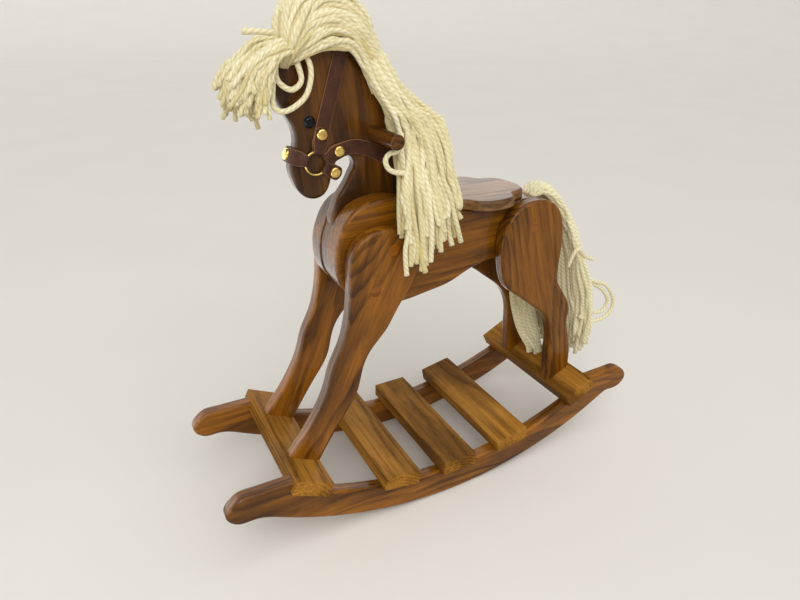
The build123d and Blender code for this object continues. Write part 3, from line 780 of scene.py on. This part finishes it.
@dataclass
class Hair:
    """Mane, forelock and tail."""

    yarn: Yarn

    def hanks(self) -> list[Hank]:
        """The bundles, each between its guide lines, in millimetres.

        Returns:
            The bundles.
        """
        cap = [
            [(164, 8, 543), (150, 20, 550), (128, 21, 556), (106, 21, 552),
             (93, 20, 538), (84, 20, 522), (75, 20, 506)],
            [(167, 8, 541), (161, 24, 558), (134, 26, 577), (108, 25, 575),
             (89, 23, 557), (77, 22, 537), (63, 21, 513)],
            [(170, 8, 539), (168, 25, 560), (148, 22, 590), (115, 17, 597),
             (87, 15, 578), (73, 13, 549), (56, 13, 517)],
            [(173, 7, 540), (173, 20, 560), (164, 13, 590), (138, 4, 603),
             (105, 2, 598), (80, 0, 575), (51, 0, 518)],
            [(174, 2, 542), (175, 4, 566), (165, -4, 590), (140, -8, 602),
             (108, -10, 598), (82, -10, 572), (52, -12, 515)],
            [(172, -14, 546), (166, -20, 566), (148, -22, 586), (118, -22, 590),
             (92, -20, 568), (74, -18, 543), (55, -16, 513)],
            [(168, -14, 542), (150, -18, 546), (128, -19, 552), (106, -19, 550),
             (93, -19, 537), (84, -18, 522), (75, -17, 506)],
        ]
        neck = [
            [(74, 14, 522), (59, 16, 494), (47, 18, 462), (42, 20, 430), (44, 23, 402)],
            [(68, 6, 524), (51, 7, 494), (38, 8, 460), (32, 9, 428), (34, 12, 403)],
            [(66, -4, 522), (48, -5, 492), (35, -6, 458), (29, -6, 426), (30, -5, 400)],
            [(68, -13, 518), (53, -15, 490), (41, -16, 458), (35, -16, 428), (36, -15, 402)],
        ]
        fall = [
            [(90, 18, 538), (80, 23, 515), (72, 25, 500), (64, 28, 484), (60, 33, 465),
             (62, 43, 442), (70, 55, 416), (73, 64, 385), (72, 65, 334)],
            [(86, 20, 541), (75, 24, 518), (66, 26, 502), (55, 28, 485), (48, 33, 466),
             (48, 44, 444), (53, 57, 415), (53, 65, 375), (52, 66, 319)],
            [(82, 21, 544), (71, 25, 520), (60, 27, 503), (48, 29, 486), (40, 34, 467),
             (39, 45, 444), (42, 57, 415), (40, 65, 378), (36, 66, 328)],
            [(78, 21, 546), (68, 25, 523), (56, 27, 505), (43, 30, 488), (33, 35, 469),
             (30, 46, 446), (31, 58, 417), (28, 65, 386), (24, 66, 347)],
            [(75, 20, 548), (65, 24, 525), (52, 26, 507), (37, 30, 491), (24, 35, 474),
             (18, 46, 450), (17, 57, 420), (11, 64, 390), (2, 65, 357)],
            [(72, 18, 548), (61, 22, 526), (48, 25, 508), (32, 29, 495), (15, 35, 484),
             (6, 44, 464), (6, 54, 438), (3, 61, 412), (-4, 64, 392)],
        ]
        lock = [
            [(160, 24, 554), (177, 26, 550), (188, 27, 534), (193, 27, 512), (195, 26, 488)],
            [(158, 20, 560), (180, 24, 558), (204, 27, 546), (222, 27, 529), (234, 26, 509)],
            [(158, 14, 558), (180, 18, 554), (200, 22, 537), (210, 22, 512), (216, 22, 490)],
            [(156, 6, 564), (182, 8, 562), (208, 10, 551), (227, 11, 535), (240, 11, 512)],
            [(158, 2, 556), (178, 3, 549), (192, 4, 531), (199, 4, 508), (203, 4, 486)],
            [(156, -6, 564), (182, -8, 561), (206, -10, 550), (224, -11, 537), (236, -11, 517)],
            [(158, -14, 558), (181, -18, 553), (203, -22, 538), (217, -22, 514), (228, -22, 490)],
            [(158, -20, 558), (179, -24, 553), (198, -27, 536), (210, -27, 512), (219, -26, 488)],
            [(160, -22, 552), (177, -24, 545), (190, -26, 527), (195, -26, 505), (197, -25, 484)],
        ]
        curtain = [
            [(-155, -6, 366), (-167, -10, 376), (-182, -16, 360), (-188, -17, 326), (-173, -17, 280),
             (-155, -15, 222), (-162, -10, 178), (-179, -2, 140), (-189, 5, 111)],
            [(-155, -3, 367), (-169, -5, 378), (-185, -8, 360), (-194, -8, 326), (-187, -6, 280),
             (-174, -2, 222), (-178, 2, 178), (-191, 8, 142), (-200, 12, 115)],
            [(-155, -9, 366), (-169, -16, 374), (-185, -26, 356), (-195, -29, 326), (-198, -31, 280),
             (-202, -31, 225), (-209, -31, 180), (-219, -29, 145), (-226, -26, 122)],
            [(-155, 0, 368), (-171, 0, 379), (-189, 2, 360), (-202, 4, 326), (-210, 6, 280),
             (-217, 8, 225), (-227, 8, 180), (-238, 8, 135), (-243, 8, 98)],
            [(-155, 3, 368), (-171, 8, 378), (-190, 16, 360), (-205, 21, 325), (-217, 25, 280),
             (-230, 27, 225), (-240, 28, 180), (-246, 28, 140), (-247, 28, 106)],
            [(-155, 6, 367), (-171, 14, 375), (-189, 26, 356), (-206, 35, 322), (-221, 40, 280),
             (-237, 43, 232), (-248, 44, 185), (-250, 44, 145), (-249, 43, 116)],
            [(-155, 8, 365), (-169, 18, 372), (-186, 31, 354), (-203, 40, 322), (-217, 45, 288),
             (-238, 48, 240), (-250, 48, 195), (-253, 47, 158), (-252, 46, 130)],
        ]
        crest_loops = [
            [(164, 18, 545), (140, 24, 556), (116, 25, 562), (100, 25, 556), (89, 24, 538), (82, 24, 516)],
            [(172, 12, 556), (181, 15, 540), (180, 17, 527), (168, 18, 519), (157, 17, 527), (160, 15, 545)],
            [(154, 15, 556), (148, 18, 542), (148, 19, 528), (156, 20, 511),
             (175, 20, 500), (187, 19, 504), (186, 17, 522), (180, 14, 546)],
        ]
        fall_loops = [
            [(58, 40, 472), (69, 50, 457), (79, 53, 456), (85, 54, 450),
             (82, 54, 441), (74, 55, 436), (63, 56, 434), (58, 57, 428)],
        ]
        lock_ends = [
            [(160, 8, 565), (186, 9, 570), (210, 10, 571)],
        ]
        tail_loops = [
            [(-208, 44, 300), (-226, 46, 262), (-245, 46, 242), (-279, 47, 226),
             (-301, 47, 196), (-294, 47, 174), (-266, 46, 169), (-236, 45, 184)],
            [(-210, 40, 296), (-228, 42, 258), (-246, 44, 238), (-274, 45, 220),
             (-291, 45, 198), (-284, 45, 182), (-264, 44, 184), (-246, 44, 196)],
            [(-200, 46, 270), (-204, 49, 290), (-212, 50, 296),
             (-222, 49, 286), (-236, 48, 277), (-246, 47, 274)],
        ]
        return [
            Hank("mane_crest", "mane_crest", "horse", cap, count=120, depth=(0, 0, 5), scatter=1.8, seed=11,
                 trim=0.05, splay=1.2, wave=0.6, gauge=0.88, loose=crest_loops),
            Hank("mane_neck", "mane_crest", "horse", neck, count=40, depth=(-5, 0, 0), scatter=2.0, seed=17,
                 splay=1.2),
            # The fall is toned darker and the tail paler than the rest: painted shade and painted light on
            # the one yarn.
            Hank("mane_fall", "mane_fall", "mane", fall, count=92, depth=(0, 7, 0), scatter=2.4, seed=23,
                 trim=0.13, splay=1.9, pale=0.38, loose=fall_loops),
            Hank("forelock", "forelock", "forelock", lock, count=150, depth=(0, 0, 4), scatter=1.4, seed=37,
                 trim=0.20, splay=1.9, wave=0.4, gauge=0.78, loose=lock_ends),
            Hank("tail", "tail", "tail", curtain, count=112, depth=(-5, 0, 0), scatter=2.0, seed=53,
                 trim=0.14, splay=1.5, pale=0.95, loose=tail_loops),
        ]

    def build(self) -> list[bpy.types.Object]:
        """Lay every bundle."""
        finish = Wool().material()
        return [piece for hank in self.hanks() for piece in hank.build(self.yarn, finish)]


@dataclass
class Strap:
    """One bridle strap: from its fold at the left ring, over the head's edge, to its fold at the right ring.

    The route ends where the strap crosses the head's edge, and edge is that edge's direction there. A wrapped
    strap's folded ends run back over the edge and meet in the middle plane.
    """

    name: str
    route: Sequence[Pair]
    edge: Pair
    rivet: Pair
    wrapped: bool = False


@dataclass
class Bridle:
    """The leather straps round the head, in millimetres; side counts from the middle plane."""

    ring: Pair = (145.0, 444.0)
    ring_radius: float = 12.0
    ring_side: float = 13.0
    inner_side: float = 10.6
    outer_side: float = 12.4
    width: float = 15.5
    neck: float = 12.0
    neck_run: float = 8.0
    thickness: float = 1.8
    head_half: float = 9.5
    edge_round: float = 5.0
    edge_clear: float = 0.2
    loose_end: float = 7.5
    end_round: float = 5.0
    middle_sides: Pair = (2.0, 0.0)
    wrapped_end_side: float = 1.0
    wrapped_end_round: float = 1.0
    narrowest: float = 0.02
    bow: float = 0.9
    bow_clear: float = 2.0
    fold_out: float = 1.0
    fold_in: float = 1.7
    fold_bulge: float = 0.72
    squareness: float = 0.25
    section: int = 24
    steps: int = 220
    finer: int = 8

    def straps(self) -> list[Strap]:
        """The four straps, by their lines on the head's side.

        Returns:
            The straps.
        """
        return [
            Strap("noseband", [(168.9, 452.6)], edge=(-4.6, 13.2), rivet=(165.0, 451.0), wrapped=True),
            Strap("chin_strap", [(124.4, 432.2)], edge=(-5.2, 13.2), rivet=(124.0, 432.0)),
            Strap("headstall", [(137, 473), (111.3, 552.7)], edge=(13.0, 5.5), rivet=(137.0, 473.0)),
            Strap("reins", [(118.5, 454), (98, 456.5), (78, 450), (60, 440), (44.6, 433.9)],
                  edge=(2.7, 16.1), rivet=(118.5, 454.0)),
        ]

    def half_line(self, strap: Strap) -> tuple[np.ndarray, np.ndarray]:
        """Points of one half of a strap, from its loose end on the left to the middle plane.

        The strap leaves its rivet outwards of the ring, folds round the ring's wire, lies on the head's side
        and rolls over the head's rounded edge.

        Args:
            strap: The strap.

        Returns:
            Points by three, and the directions across the strap, both in millimetres.
        """
        ring = np.array(self.ring)
        rivet = np.array(strap.rivet)
        reach = np.linalg.norm(rivet - ring)
        out = (rivet - ring) / reach
        line = [np.array(p) for p in strap.route]
        crossing = line[-1]
        before = line[-2] if len(line) > 1 else ring
        leave = (crossing - before) / np.linalg.norm(crossing - before)
        around = self.edge_round + self.edge_clear + self.thickness / 2
        bends = (90, 60, 30, 0)
        turning, easing = len(bends) + 1, len(bends) - 1

        def at(run: float, side: float) -> list[float]:
            """A point that far from the ring's middle along the strap, at that side."""
            spot = ring + out * run
            return [spot[0], side, spot[1]]

        def corner(far: float, angles: Sequence[float]) -> list[list[float]]:
            """Points round the head's edge.

            Args:
                far: How far they lie from the middle of its rounding.
                angles: Where they lie, in degrees; 90 is the side and 0 the edge's foremost line.

            Returns:
                The points.
            """
            spots = [(crossing + leave * (far * np.cos(a) - self.edge_round), far * np.sin(a))
                     for a in np.radians(angles)]
            return [[spot[0], self.head_half - self.edge_round + side, spot[1]] for spot, side in spots]

        if strap.wrapped:
            wrap = corner(around + self.thickness, bends[::-1])
            points = [[wrap[0][0], self.wrapped_end_side, wrap[0][2]], *wrap]
        else:
            points = [at(reach + self.loose_end, self.outer_side), at(reach, self.outer_side)]
        fold = self.ring_side - self.inner_side
        bulge = self.fold_bulge * fold
        outer, inner = self.ring_radius + self.fold_out, self.ring_radius - self.fold_in
        points += [at(0.5 * (reach + self.ring_radius + self.bow_clear), self.outer_side + self.bow),
                   at(outer, self.ring_side + fold), at(inner, self.ring_side + bulge),
                   at(self.ring_radius - fold, self.ring_side), at(inner, self.ring_side - bulge),
                   at(outer, self.inner_side)]
        folded = len(points)
        points += [[p[0], self.inner_side, p[1]] for p in line[:-1]]
        points += corner(around, bends)
        points += [[points[-1][0], side, points[-1][2]] for side in self.middle_sides]
        points = np.array(points)
        heading = np.gradient(points[:, [0, 2]], axis=0)
        heading[:folded] = out
        heading[folded:][np.linalg.norm(heading[folded:], axis=1) < 1e-6] = leave
        heading[-turning:] = leave
        heading /= np.linalg.norm(heading, axis=1, keepdims=True)
        across = np.stack([-heading[:, 1], np.zeros(len(points)), heading[:, 0]], axis=1)
        edge = np.array([strap.edge[0], 0.0, strap.edge[1]]) / np.hypot(*strap.edge)
        edge *= np.sign(np.dot(edge, across[-1])) or 1.0
        count = np.arange(len(points))
        ease = np.clip((count - (len(points) - turning)) / easing, 0, 1)
        if strap.wrapped:
            ease = np.maximum(ease, np.clip((turning - 1 - count) / easing, 0, 1))
        ease = ease[:, None]
        across = across * (1 - ease) + edge * ease
        return points, across / np.linalg.norm(across, axis=1, keepdims=True)

    def band(self, strap: Strap) -> bpy.types.Object:
        """Carry a strap's section along its line.

        The section is a squared oval: (w/2 sgn(cos a)|cos a|^q, t/2 sgn(sin a)|sin a|^q), with q the
        squareness, set across the strap and square to it. The strap narrows where it folds round the ring.

        Args:
            strap: The strap.

        Returns:
            The piece.
        """
        half, across = self.half_line(strap)
        flip = np.array([1.0, -1.0, 1.0])
        line = np.concatenate([half, (half * flip)[-2::-1]])
        wide = np.concatenate([across, (across * flip)[-2::-1]])
        fine, fine_wide = curve_through(np.stack([line, wide]), self.finer * self.steps)
        length = np.concatenate([[0], np.cumsum(np.linalg.norm(np.diff(fine, axis=0), axis=1))])
        even = np.linspace(0, length[-1], self.steps)
        centre, over = (np.stack([np.interp(even, length, rows[:, k]) for k in range(3)], axis=1)
                        for rows in (fine, fine_wide))
        tangent = tangents_of(centre[None])[0]
        over -= tangent * np.einsum("mi,mi->m", over, tangent)[:, None]
        over /= np.linalg.norm(over, axis=1, keepdims=True)
        lift = np.cross(tangent, over)
        flat = np.hypot(centre[:, 0] - self.ring[0], centre[:, 2] - self.ring[1])
        share = np.clip((flat - self.ring_radius) / self.neck_run, 0, 1)
        wide_now = self.neck + (self.width - self.neck) * share * share * (3 - 2 * share)
        end = np.minimum(even, length[-1] - even)
        rounding = self.wrapped_end_round if strap.wrapped else self.end_round
        inwards = 1 - np.clip(end / rounding, 0, 1)
        wide_now = wide_now * np.sqrt(np.clip(1 - inwards ** 2, self.narrowest, 1))
        angle = np.linspace(0, 2 * np.pi, self.section, endpoint=False)
        cos, sin = np.cos(angle), np.sin(angle)
        x, y = (np.sign(wave) * np.abs(wave) ** self.squareness for wave in (cos, sin))
        surface = (centre[:, None] + over[:, None] * (x[None, :, None] * wide_now[:, None, None] / 2)
                   + lift[:, None] * (y[None, :, None] * self.thickness / 2))
        caps = np.stack([centre[0], centre[-1]])
        points = np.concatenate([surface.reshape(-1, 3), caps]) * MM
        quads, fans = tube_faces(1, self.steps, self.section)
        piece = mesh_object(f"{strap.name}_leather", points, quads, fans)
        rim = np.concatenate([np.tile(np.abs(x), self.steps), [1.0, 1.0]])
        piece.data.attributes.new("rim", "FLOAT", "POINT").data.foreach_set("value", rim.astype(np.float32))
        LOG.info("%s runs %.0f mm", strap.name, length[-1])
        return piece

    def build(self) -> list[bpy.types.Object]:
        """Make the straps and put them in place of their plain solids.

        Returns:
            The pieces.
        """
        finish = Leather().material()
        pieces = []
        for strap in self.straps():
            piece = self.band(strap)
            piece.data.materials.append(finish)
            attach(piece, "horse")
            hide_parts(strap.name)
            pieces.append(piece)
        return pieces


@dataclass
class Woodwork:
    """Every oak board and dowel, with the way its grain runs."""

    nodes: dict[str, bpy.types.Object]

    def finishes(self) -> dict[str, Oak]:
        """The finish of each wooden node: where its grain and its face point, its stain, and its rings.

        Returns:
            The finishes by node.
        """
        level, cross, upright = (1.0, 0.0, 0.0), (0.0, 1.0, 0.0), (0.0, 0.0, 1.0)
        front, hind = (0.40, 0.0, -0.92), (-0.30, 0.0, -0.95)
        face, head, slat, seat, plug, flank = (stain.value for stain in Stains)
        rows = [
            ("left_rocker", "left_rocker_oak", level, cross, face, 0.050, 0.05),
            ("right_rocker", "right_rocker_oak", level, cross, face, 0.060, -0.06),
            ("left_front_leg", "left_front_leg_oak", front, cross, face, 0.045, 0.24),
            ("right_front_leg", "right_front_leg_oak", front, cross, face, 0.050, -0.11),
            ("left_hind_leg", "left_hind_leg_oak", hind, cross, flank, 0.040, 0.15),
            ("right_hind_leg", "right_hind_leg_oak", hind, cross, flank, 0.050, 0.12),
            ("left_body_side", "left_body_side_oak", (1.0, 0.0, -0.04), cross, flank, 0.060, 0.07),
            ("right_body_side", "right_body_side_oak", (1.0, 0.0, -0.03), cross, flank, 0.055, -0.07),
            # The neck and head board takes the head stain, darkened as painted shade.
            ("neck_head_board", "neck_head_oak", (0.10, 0.0, 0.99), cross, head, 0.080, 0.05),
            ("body_core", "body_core_oak", level, cross, face, 0.070, 0.05),
            ("saddle_seat", "saddle_seat_oak", level, upright, seat, 0.050, 0.08),
            # The handle takes the same head stain, with its painted shade.
            ("handle_dowel", "handle_dowel_oak", cross, upright, head, 0.030, 0.03),
            ("leg_plugs", "leg_plug_oak", level, cross, plug, 0.060, 0.05),
            ("seat_pins", "seat_pin_oak", level, upright, plug, 0.060, 0.05),
            ("slat_pins", "slat_pin_beech", upright, cross, plug, 0.060, 0.05),
        ]
        table = {node: Oak(name, grain, side, stain, depth, lean, seed=float(seed))
                 for seed, (node, name, grain, side, stain, depth, lean) in enumerate(rows, 1)}
        tilts = {"front_slat": 0.47, "front_middle_slat": 0.19, "middle_slat": 0.0, "rear_middle_slat": -0.19,
                 "rear_slat": -0.47}
        for number, (name, tilt) in enumerate(tilts.items()):
            table[name] = Oak(f"{name}_oak", cross, (-np.sin(tilt), 0.0, np.cos(tilt)), slat,
                              depth=0.034 + 0.006 * number, lean=0.06 - 0.03 * number, spacing=0.0046,
                              seed=16.0 + number, bands=0.66, gloss=0.05)
        return table

    def dress(self) -> None:
        """Give each board its finish."""
        for name, oak in self.finishes().items():
            low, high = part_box(name)
            paint(self.nodes[name], oak.material(tuple((np.array(low) + np.array(high)) / 2)))
            LOG.info("%s dressed", name)


def paint(node: bpy.types.Object, finish: bpy.types.Material) -> None:
    """Put a finish in every material slot of a node.

    Args:
        node: The node's object.
        finish: The material.
    """
    for slot in node.material_slots:
        slot.material = finish
    if not node.material_slots:
        node.data.materials.append(finish)


@dataclass
class Fittings:
    """Eyes, rings, rivets and screws."""

    nodes: dict[str, bpy.types.Object]
    head_half: float = 9.5 * MM
    eye_height: float = 4.6 * MM

    def dress(self) -> None:
        """Give the small metal and glossy pieces their finishes."""
        brass = Metal("brass", (0.86, 0.62, 0.20, 1), (0.52, 0.34, 0.09, 1), 0.16).material()
        steel = Metal("screw_steel", (0.62, 0.62, 0.63, 1), (0.38, 0.37, 0.36, 1), 0.28).material()
        eye = Glass().material(self.head_half, self.eye_height)
        groups = {
            ("left_bit_ring", "right_bit_ring", "left_bridle_rivets", "right_bridle_rivets",
             "nose_rivet"): brass,
            ("foot_screws", "leg_screws"): steel,
            ("left_eye", "right_eye"): eye,
        }
        for names, finish in groups.items():
            for name in names:
                paint(self.nodes[name], finish)


@dataclass(frozen=True)
class GlossPanel:
    """A flat lamp that shows only as gloss: where it hangs and aims, its sides in metres and its watts."""

    name: str
    spot: Triple
    aim: Triple
    width: float
    height: float
    power: float


@dataclass
class Studio:
    """Floor, light and camera, in metres; the lens and its sensor in millimetres."""

    place: Triple = (0.36599, 0.60343, 0.59815)
    ahead: Triple = (-0.42769661, -0.78520941, -0.4477966)
    right: Triple = (-0.87975649, 0.47537742, 0.00669512)
    up: Triple = (-0.20761532, -0.39681544, 0.89411039)
    lens: float = 27.06
    sensor: float = 36.0
    clip: Pair = (0.01, 100.0)
    floor_start: float = 0.2
    floor_reach: float = 7.0
    floor_rings: int = 12
    floor_sides: int = 64
    floor_tones: tuple[Colour, Colour] = ((0.78, 0.745, 0.68, 1), (0.82, 0.785, 0.72, 1))
    sweep: float = 9.0
    sweep_angle: float = 85.0
    sweep_rings: int = 24
    target: Triple = (0.0, 0.0, 0.25)
    box_spot: Triple = (0.95, 1.35, 1.55)
    box_size: float = 1.2
    box_power: float = 12.0
    panels: tuple[GlossPanel, ...] = (
        GlossPanel("far_gloss_panel", (0.30, -0.24, 0.34), (0.30, 0.0, 0.34), 1.4, 0.66, 4.0),
        GlossPanel("front_gloss_panel", (0.62, -0.05, 0.27), (0.0, -0.05, 0.27), 0.8, 0.5, 2.8),
    )
    sky_spot: Triple = (-0.15, 0.95, 1.6)
    sky_angle: float = 1.3
    sky_strength: float = 1.65
    surround: Colour = (0.97, 0.98, 1.0, 1.0)
    surround_strength: float = 0.42

    def floor(self) -> None:
        """A plain pale floor at the height of the soles, that sweeps up far away into a round wall.

        The floor is flat out to floor_reach; then r = floor_reach + sweep sin a, z = sweep (1 - cos a).
        """
        bend = np.radians(np.linspace(0, self.sweep_angle, self.sweep_rings))[1:]
        radius = np.concatenate([np.linspace(self.floor_start, self.floor_reach, self.floor_rings),
                                 self.floor_reach + self.sweep * np.sin(bend)])
        height = np.concatenate([np.zeros(self.floor_rings), self.sweep * (1 - np.cos(bend))])
        turn = np.linspace(0, 2 * np.pi, self.floor_sides, endpoint=False)
        rings = np.stack([radius[:, None] * np.cos(turn), radius[:, None] * np.sin(turn),
                          np.broadcast_to(height[:, None], (len(radius), len(turn)))], axis=-1)
        quads, fans = tube_faces(1, len(radius), self.floor_sides)
        points = np.concatenate([rings.reshape(-1, 3), [[0.0, 0.0, 0.0], [0.0, 0.0, height[-1]]]])
        ground = mesh_object("floor", points, quads, fans[:self.floor_sides])
        graph = Graph("floor_pale")
        cloud = graph.noise(graph.place(), 3.0, 2.0)
        graph.feed({"Base Color": graph.blend(*self.floor_tones, cloud), "Roughness": 0.9,
                    "Specular IOR Level": 0.0})
        ground.data.materials.append(graph.material)

    def hang(self, name: str, data: bpy.types.Light, spot: Triple, target: Triple) -> bpy.types.Object:
        """Hang a lamp and turn it to a target.

        Args:
            name: The lamp's name.
            data: Its light.
            spot: Where it hangs, in metres.
            target: The point that it shines on.

        Returns:
            The lamp.
        """
        lamp = bpy.data.objects.new(name, data)
        lamp.visible_camera = False
        back = np.array(spot) - target
        back /= np.linalg.norm(back)
        side = np.cross((0.0, 0.0, 1.0), back)
        side /= np.linalg.norm(side)
        turned = [[*axis, 0.0] for axis in (side, np.cross(back, side), back)]
        lamp.matrix_world = [*turned, [*spot, 1.0]]
        bpy.context.scene.collection.objects.link(lamp)
        return lamp

    def light(self) -> None:
        """Hang a wide soft light, a round box in front and the gloss panels, in a pale surround."""
        box = bpy.data.lights.new("front_box", "AREA")
        box.shape, box.size, box.energy = "DISK", self.box_size, self.box_power
        self.hang("front_box", box, self.box_spot, self.target)
        for panel in self.panels:
            data = bpy.data.lights.new(panel.name, "AREA")
            data.shape, data.energy = "RECTANGLE", panel.power
            data.size, data.size_y = panel.width, panel.height
            self.hang(panel.name, data, panel.spot, panel.aim).visible_diffuse = False
        sky = bpy.data.lights.new("ceiling", "SUN")
        sky.angle, sky.energy = self.sky_angle, self.sky_strength
        self.hang("ceiling", sky, self.sky_spot, self.target)
        world = bpy.data.worlds.new("surround")
        world.use_nodes = True
        background = world.node_tree.nodes["Background"]
        background.inputs["Color"].default_value = self.surround
        background.inputs["Strength"].default_value = self.surround_strength
        bpy.context.scene.world = world
        bpy.context.scene.view_settings.view_transform = "Standard"

    def camera(self) -> None:
        """The camera at the photograph's angle."""
        data = bpy.data.cameras.new("camera")
        data.lens, data.sensor_width = self.lens, self.sensor
        data.clip_start, data.clip_end = self.clip
        camera = bpy.data.objects.new("camera", data)
        back = tuple(-c for c in self.ahead)
        camera.matrix_world = [[*self.right, 0.0], [*self.up, 0.0], [*back, 0.0], [*self.place, 1.0]]
        bpy.context.scene.collection.objects.link(camera)
        bpy.context.scene.camera = camera

    def build(self) -> None:
        """Set the stage."""
        self.floor()
        self.light()
        self.camera()


def main() -> None:
    """Load the part, dress it and set it in the studio."""
    logging.basicConfig(level=logging.INFO)
    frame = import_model()
    Woodwork(frame["nodes"]).dress()
    Fittings(frame["nodes"]).dress()
    for piece in Bridle().build() + Hair(Yarn()).build():
        LOG.info("%s: %d points", piece.name, len(piece.data.vertices))
    Studio().build()


if __name__ == "__main__":
    main()
